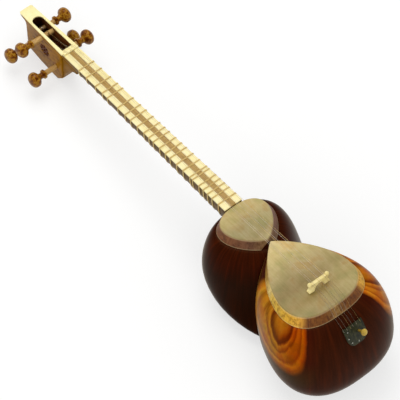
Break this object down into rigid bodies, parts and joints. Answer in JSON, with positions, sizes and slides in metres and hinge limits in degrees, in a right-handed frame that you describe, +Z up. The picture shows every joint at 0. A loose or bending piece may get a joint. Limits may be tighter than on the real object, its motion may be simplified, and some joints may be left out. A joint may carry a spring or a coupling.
{
  "type": "persian tar",
  "caption": "Long-necked plucked lute: double-bowl carved body with stretched skin faces, bone-and-walnut fingerboard with tied gut frets, and a deep pegbox with turned friction pegs.",
  "frame": {"origin": "on the surface that the instrument lies on, under the middle of its length and its width", "axes": "+X from the tail towards the pegs, +Y to the left seen from the tail, +Z up out of the skins"},
  "size_m": [0.9186, 0.2286, 0.2082],
  "materials": {
    "mulberry": "carved mulberry, oiled and polished to a dark red-brown gloss, with orange sapwood flanks",
    "skin": "thin stretched lambskin, matte khaki-cream, glued over the rims",
    "walnut": "oiled walnut, satin",
    "walnut_strip": "pale walnut strip, worn satin",
    "bone": "polished camel bone, warm cream",
    "burl": "turned walnut burl, mottled, polished",
    "gut": "twisted gut, pale gold",
    "string_steel": "drawn steel string",
    "tailpiece": "dark green-black horn plate, satin",
    "nail_steel": "small domed steel nails"
  },
  "bodies": {
    "instrument": {"body_left_half": "mulberry", "body_right_half": "mulberry", "skin_large": "skin", "skin_small": "skin", "neck": "walnut", "fingerboard_bone_left": "bone", "fingerboard_walnut_centre": "walnut_strip", "fingerboard_bone_right": "bone", "nut": "bone", "pegbox": "walnut", "pegbox_front_plate": "bone", "string_1": "string_steel", "string_2": "string_steel", "string_3": "string_steel", "string_4": "string_steel", "string_5": "string_steel", "string_6": "string_steel", "bridge": "bone", "tailpiece": "tailpiece", "tailpiece_nail_1": "nail_steel", "tailpiece_nail_2": "nail_steel", "tailpiece_nail_3": "nail_steel", "tailpiece_nail_4": "nail_steel", "tail_knob": "bone"},
    "peg_left_upper": {"peg_left_upper": "burl", "winding_3": "string_steel"},
    "peg_left_far": {"peg_left_far": "burl", "winding_2": "string_steel"},
    "peg_left_near": {"peg_left_near": "burl", "winding_1": "string_steel"},
    "peg_right_far": {"peg_right_far": "burl", "winding_4": "string_steel"},
    "peg_right_near": {"peg_right_near": "burl", "winding_6": "string_steel"},
    "peg_right_lower": {"peg_right_lower": "burl", "winding_5": "string_steel"},
    "fret_01": {"fret_01": "gut"},
    "fret_02": {"fret_02": "gut"},
    "fret_03": {"fret_03": "gut"},
    "fret_04": {"fret_04": "gut"},
    "fret_05": {"fret_05": "gut"},
    "fret_06": {"fret_06": "gut"},
    "fret_07": {"fret_07": "gut"},
    "fret_08": {"fret_08": "gut"},
    "fret_09": {"fret_09": "gut"},
    "fret_10": {"fret_10": "gut"},
    "fret_11": {"fret_11": "gut"},
    "fret_12": {"fret_12": "gut"},
    "fret_13": {"fret_13": "gut"},
    "fret_14": {"fret_14": "gut"},
    "fret_15": {"fret_15": "gut"},
    "fret_16": {"fret_16": "gut"},
    "fret_17": {"fret_17": "gut"},
    "fret_18": {"fret_18": "gut"},
    "fret_19": {"fret_19": "gut"},
    "fret_20": {"fret_20": "gut"},
    "fret_21": {"fret_21": "gut"},
    "fret_22": {"fret_22": "gut"},
    "fret_23": {"fret_23": "gut"},
    "fret_24": {"fret_24": "gut"}
  },
  "joints": [
    {"name": "peg_left_upper_turn", "type": "hinge", "parent": "instrument", "child": "peg_left_upper", "pos_m": [0.39319, 0.0174, 0.07078], "axis": [0, 1, 0], "continuous": true},
    {"name": "peg_left_far_turn", "type": "hinge", "parent": "instrument", "child": "peg_left_far", "pos_m": [0.41447, 0.0174, 0.03206], "axis": [0, 1, 0], "continuous": true},
    {"name": "peg_left_near_turn", "type": "hinge", "parent": "instrument", "child": "peg_left_near", "pos_m": [0.3484, 0.0174, 0.03442], "axis": [0, 1, 0], "continuous": true},
    {"name": "peg_right_far_turn", "type": "hinge", "parent": "instrument", "child": "peg_right_far", "pos_m": [0.41439, -0.0174, 0.05552], "axis": [0, -1, 0], "continuous": true},
    {"name": "peg_right_near_turn", "type": "hinge", "parent": "instrument", "child": "peg_right_near", "pos_m": [0.35076, -0.0174, 0.06137], "axis": [0, -1, 0], "continuous": true},
    {"name": "peg_right_lower_turn", "type": "hinge", "parent": "instrument", "child": "peg_right_lower", "pos_m": [0.38553, -0.0174, 0.01884], "axis": [0, -1, 0], "continuous": true},
    {"name": "fret_01_slide", "type": "slide", "parent": "instrument", "child": "fret_01", "axis": [0.9893, 0, -0.1459], "range_m": [-0.002, 0.002]},
    {"name": "fret_02_slide", "type": "slide", "parent": "instrument", "child": "fret_02", "axis": [0.9893, 0, -0.1459], "range_m": [-0.002, 0.002]},
    {"name": "fret_03_slide", "type": "slide", "parent": "instrument", "child": "fret_03", "axis": [0.9893, 0, -0.1459], "range_m": [-0.002, 0.002]},
    {"name": "fret_04_slide", "type": "slide", "parent": "instrument", "child": "fret_04", "axis": [0.9893, 0, -0.1459], "range_m": [-0.002, 0.002]},
    {"name": "fret_05_slide", "type": "slide", "parent": "instrument", "child": "fret_05", "axis": [0.9893, 0, -0.1459], "range_m": [-0.002, 0.002]},
    {"name": "fret_06_slide", "type": "slide", "parent": "instrument", "child": "fret_06", "axis": [0.9893, 0, -0.1459], "range_m": [-0.002, 0.002]},
    {"name": "fret_07_slide", "type": "slide", "parent": "instrument", "child": "fret_07", "axis": [0.9893, 0, -0.1459], "range_m": [-0.002, 0.002]},
    {"name": "fret_08_slide", "type": "slide", "parent": "instrument", "child": "fret_08", "axis": [0.9893, 0, -0.1459], "range_m": [-0.002, 0.002]},
    {"name": "fret_09_slide", "type": "slide", "parent": "instrument", "child": "fret_09", "axis": [0.9893, 0, -0.1459], "range_m": [-0.002, 0.002]},
    {"name": "fret_10_slide", "type": "slide", "parent": "instrument", "child": "fret_10", "axis": [0.9893, 0, -0.1459], "range_m": [-0.002, 0.002]},
    {"name": "fret_11_slide", "type": "slide", "parent": "instrument", "child": "fret_11", "axis": [0.9893, 0, -0.1459], "range_m": [-0.002, 0.002]},
    {"name": "fret_12_slide", "type": "slide", "parent": "instrument", "child": "fret_12", "axis": [0.9893, 0, -0.1459], "range_m": [-0.002, 0.002]},
    {"name": "fret_13_slide", "type": "slide", "parent": "instrument", "child": "fret_13", "axis": [0.9893, 0, -0.1459], "range_m": [-0.002, 0.002]},
    {"name": "fret_14_slide", "type": "slide", "parent": "instrument", "child": "fret_14", "axis": [0.9893, 0, -0.1459], "range_m": [-0.002, 0.002]},
    {"name": "fret_15_slide", "type": "slide", "parent": "instrument", "child": "fret_15", "axis": [0.9893, 0, -0.1459], "range_m": [-0.002, 0.002]},
    {"name": "fret_16_slide", "type": "slide", "parent": "instrument", "child": "fret_16", "axis": [0.9893, 0, -0.1459], "range_m": [-0.002, 0.002]},
    {"name": "fret_17_slide", "type": "slide", "parent": "instrument", "child": "fret_17", "axis": [0.9893, 0, -0.1459], "range_m": [-0.002, 0.002]},
    {"name": "fret_18_slide", "type": "slide", "parent": "instrument", "child": "fret_18", "axis": [0.9893, 0, -0.1459], "range_m": [-0.002, 0.002]},
    {"name": "fret_19_slide", "type": "slide", "parent": "instrument", "child": "fret_19", "axis": [0.9893, 0, -0.1459], "range_m": [-0.002, 0.002]},
    {"name": "fret_20_slide", "type": "slide", "parent": "instrument", "child": "fret_20", "axis": [0.9893, 0, -0.1459], "range_m": [-0.002, 0.002]},
    {"name": "fret_21_slide", "type": "slide", "parent": "instrument", "child": "fret_21", "axis": [0.9893, 0, -0.1459], "range_m": [-0.002, 0.002]},
    {"name": "fret_22_slide", "type": "slide", "parent": "instrument", "child": "fret_22", "axis": [0.9893, 0, -0.1459], "range_m": [-0.002, 0.002]},
    {"name": "fret_23_slide", "type": "slide", "parent": "instrument", "child": "fret_23", "axis": [0.9893, 0, -0.1459], "range_m": [-0.002, 0.002]},
    {"name": "fret_24_slide", "type": "slide", "parent": "instrument", "child": "fret_24", "axis": [0.9893, 0, -0.1459], "range_m": [-0.001, 0.002]}
  ]
}
